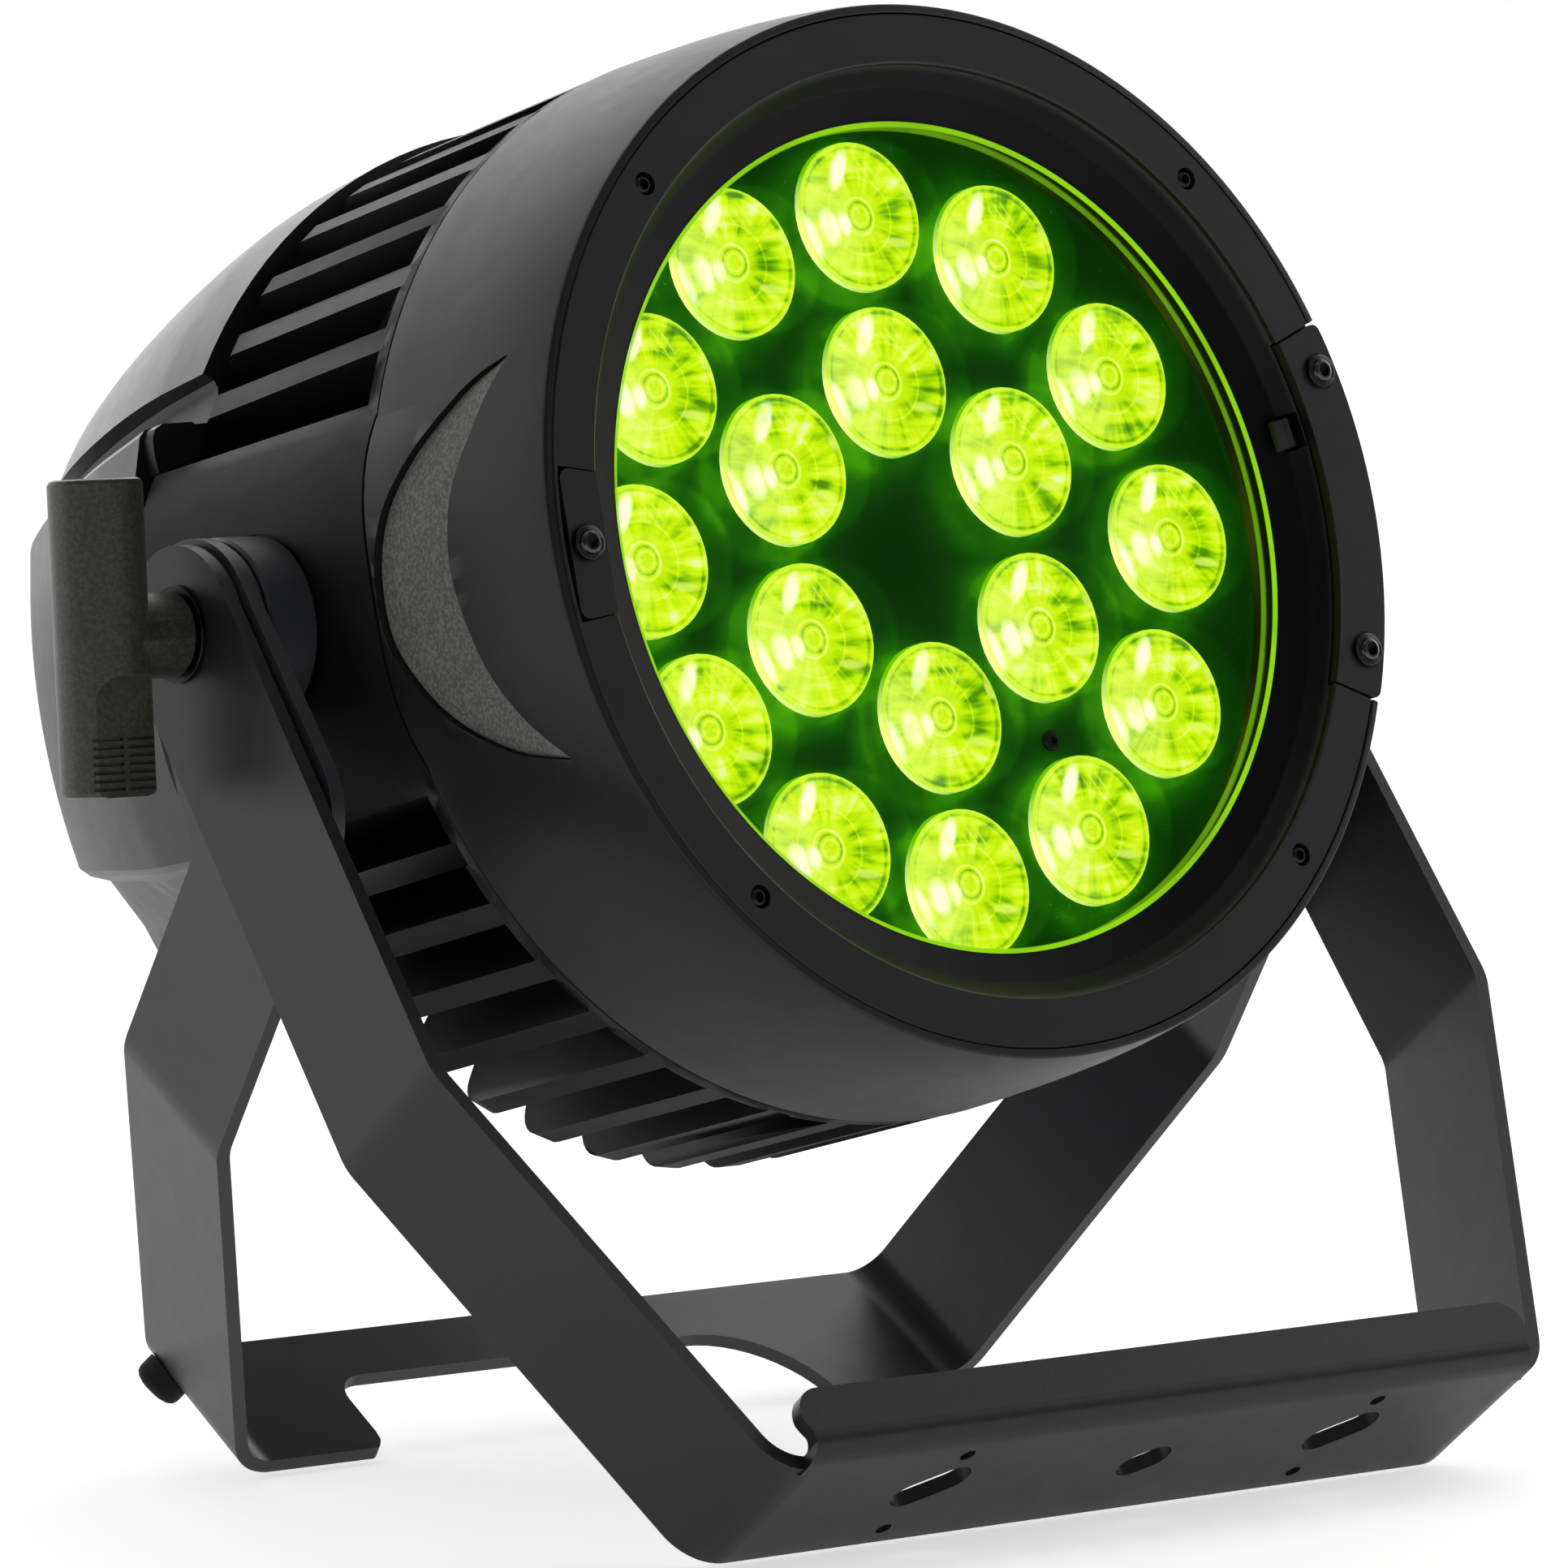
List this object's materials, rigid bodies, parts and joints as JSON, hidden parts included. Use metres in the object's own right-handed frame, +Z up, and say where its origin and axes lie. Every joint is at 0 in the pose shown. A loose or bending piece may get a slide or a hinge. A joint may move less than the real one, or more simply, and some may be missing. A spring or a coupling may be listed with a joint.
{
  "type": "par can light",
  "caption": "Round LED par can light with green lit lenses, finned body and double yoke that stands on the floor or hangs, held by tee clamp levers.",
  "frame": {"origin": "centre of the bounding box on the ground plane, so z is 0 where the yokes stand on the floor", "axes": "+X across the light along the tilt pivot axis, -Y the way the light shines, +Z up"},
  "size_m": [0.3268, 0.2954, 0.296],
  "materials": {
    "black_shell": "fine texture",
    "bezel_black": "satin",
    "sink_black": "black anodised",
    "cover_black": "satin",
    "trim_grey": "grained",
    "clear_glass": "clear",
    "black_rubber": "matte",
    "clear_lens": "clear, lit from behind",
    "lens_plate": "matte",
    "board_green": "solder mask",
    "bright_steel": "zinc plated",
    "black_steel": "blackened",
    "yoke_paint": "satin powder coat",
    "lever_plastic": "textured",
    "washer_grey": "satin",
    "bare_aluminium": "plain",
    "key_black": "satin",
    "screen_glass": "gloss",
    "connector_black": "satin"
  },
  "bodies": {
    "front_yoke": {"front_yoke": "yoke_paint", "outer_washer_left": "washer_grey", "outer_washer_right": "washer_grey"},
    "rear_yoke": {"rear_yoke": "yoke_paint", "rubber_foot_left": "black_rubber", "rubber_foot_right": "black_rubber"},
    "head": {"barrel_shell": "black_shell", "bezel_screw_1": "black_steel", "bezel_screw_2": "black_steel", "bezel_screw_3": "black_steel", "bezel_screw_4": "black_steel", "clip_plate_left": "bezel_black", "clip_plate_right": "bezel_black", "clip_screw_1": "black_steel", "clip_screw_2": "black_steel", "clip_screw_3": "black_steel", "control_board": "board_green", "control_panel": "bezel_black", "cover_gasket": "black_rubber", "data_in_connector": "connector_black", "data_out_connector": "connector_black", "display_window": "screen_glass", "front_bezel": "bezel_black", "front_glass": "clear_glass", "glass_gasket": "black_rubber", "heatsink_body": "sink_black", "holder_screw": "bright_steel", "inner_washer_left": "washer_grey", "inner_washer_right": "washer_grey", "led_board": "board_green", "lens_array": "clear_lens", "lens_holder_plate": "lens_plate", "pivot_spacer_left": "washer_grey", "pivot_spacer_right": "washer_grey", "power_in_connector": "connector_black", "power_out_connector": "connector_black", "power_supply": "bare_aluminium", "rear_cover": "cover_black", "safety_eye": "bright_steel", "side_trim_left": "trim_grey", "side_trim_right": "trim_grey", "vent_valve": "black_rubber"},
    "frame_catch": {"frame_catch": "bright_steel"},
    "menu_button_1": {"menu_button_1": "key_black"},
    "menu_button_2": {"menu_button_2": "key_black"},
    "menu_button_3": {"menu_button_3": "key_black"},
    "menu_button_4": {"menu_button_4": "key_black"},
    "clamp_washer_left": {"clamp_washer_left": "bright_steel"},
    "clamp_stud_left": {"clamp_stud_left": "bright_steel"},
    "clamp_lever_left": {"clamp_lever_left": "lever_plastic"},
    "clamp_washer_right": {"clamp_washer_right": "bright_steel"},
    "clamp_stud_right": {"clamp_stud_right": "bright_steel"},
    "clamp_lever_right": {"clamp_lever_right": "lever_plastic"}
  },
  "joints": [
    {"name": "head_tilt", "type": "hinge", "parent": "front_yoke", "child": "head", "pos_m": [0, -0.00691, 0.174], "axis": [1, 0, 0], "range_deg": [-76, 104]},
    {"name": "rear_yoke_swing", "type": "hinge", "parent": "front_yoke", "child": "rear_yoke", "pos_m": [0, -0.00691, 0.174], "axis": [1, 0, 0], "range_deg": [-69, 35]},
    {"name": "clamp_travel_left", "type": "slide", "parent": "head", "child": "clamp_washer_left", "axis": [-1, 0, 0], "range_m": [0, 0.0013]},
    {"name": "clamp_turn_left", "type": "hinge", "parent": "clamp_washer_left", "child": "clamp_stud_left", "pos_m": [0, -0.00691, 0.174], "axis": [-1, 0, 0], "range_deg": [0, 360]},
    {"name": "lever_pull_left", "type": "slide", "parent": "clamp_stud_left", "child": "clamp_lever_left", "axis": [-1, 0, 0], "range_m": [0, 0.006], "stiffness_N_per_m": 600},
    {"name": "clamp_travel_right", "type": "slide", "parent": "head", "child": "clamp_washer_right", "axis": [1, 0, 0], "range_m": [0, 0.0013]},
    {"name": "clamp_turn_right", "type": "hinge", "parent": "clamp_washer_right", "child": "clamp_stud_right", "pos_m": [0, -0.00691, 0.174], "axis": [1, 0, 0], "range_deg": [0, 360]},
    {"name": "lever_pull_right", "type": "slide", "parent": "clamp_stud_right", "child": "clamp_lever_right", "axis": [1, 0, 0], "range_m": [0, 0.006], "stiffness_N_per_m": 600},
    {"name": "button_press_1", "type": "slide", "parent": "head", "child": "menu_button_1", "axis": [0, -0.971, 0.2392], "range_m": [0, 0.0012], "stiffness_N_per_m": 800},
    {"name": "button_press_2", "type": "slide", "parent": "head", "child": "menu_button_2", "axis": [0, -0.971, 0.2392], "range_m": [0, 0.0012], "stiffness_N_per_m": 800},
    {"name": "button_press_3", "type": "slide", "parent": "head", "child": "menu_button_3", "axis": [0, -0.971, 0.2392], "range_m": [0, 0.0012], "stiffness_N_per_m": 800},
    {"name": "button_press_4", "type": "slide", "parent": "head", "child": "menu_button_4", "axis": [0, -0.971, 0.2392], "range_m": [0, 0.0012], "stiffness_N_per_m": 800},
    {"name": "catch_slide", "type": "slide", "parent": "head", "child": "frame_catch", "axis": [0.9816, 0.0456, 0.1853], "range_m": [0, 0.0023], "stiffness_N_per_m": 500}
  ],
  "couplings": [
    {"joint": "clamp_travel_left", "follows": "clamp_turn_left", "m_per_rad": 0.00019894},
    {"joint": "clamp_travel_right", "follows": "clamp_turn_right", "m_per_rad": 0.00019894}
  ]
}
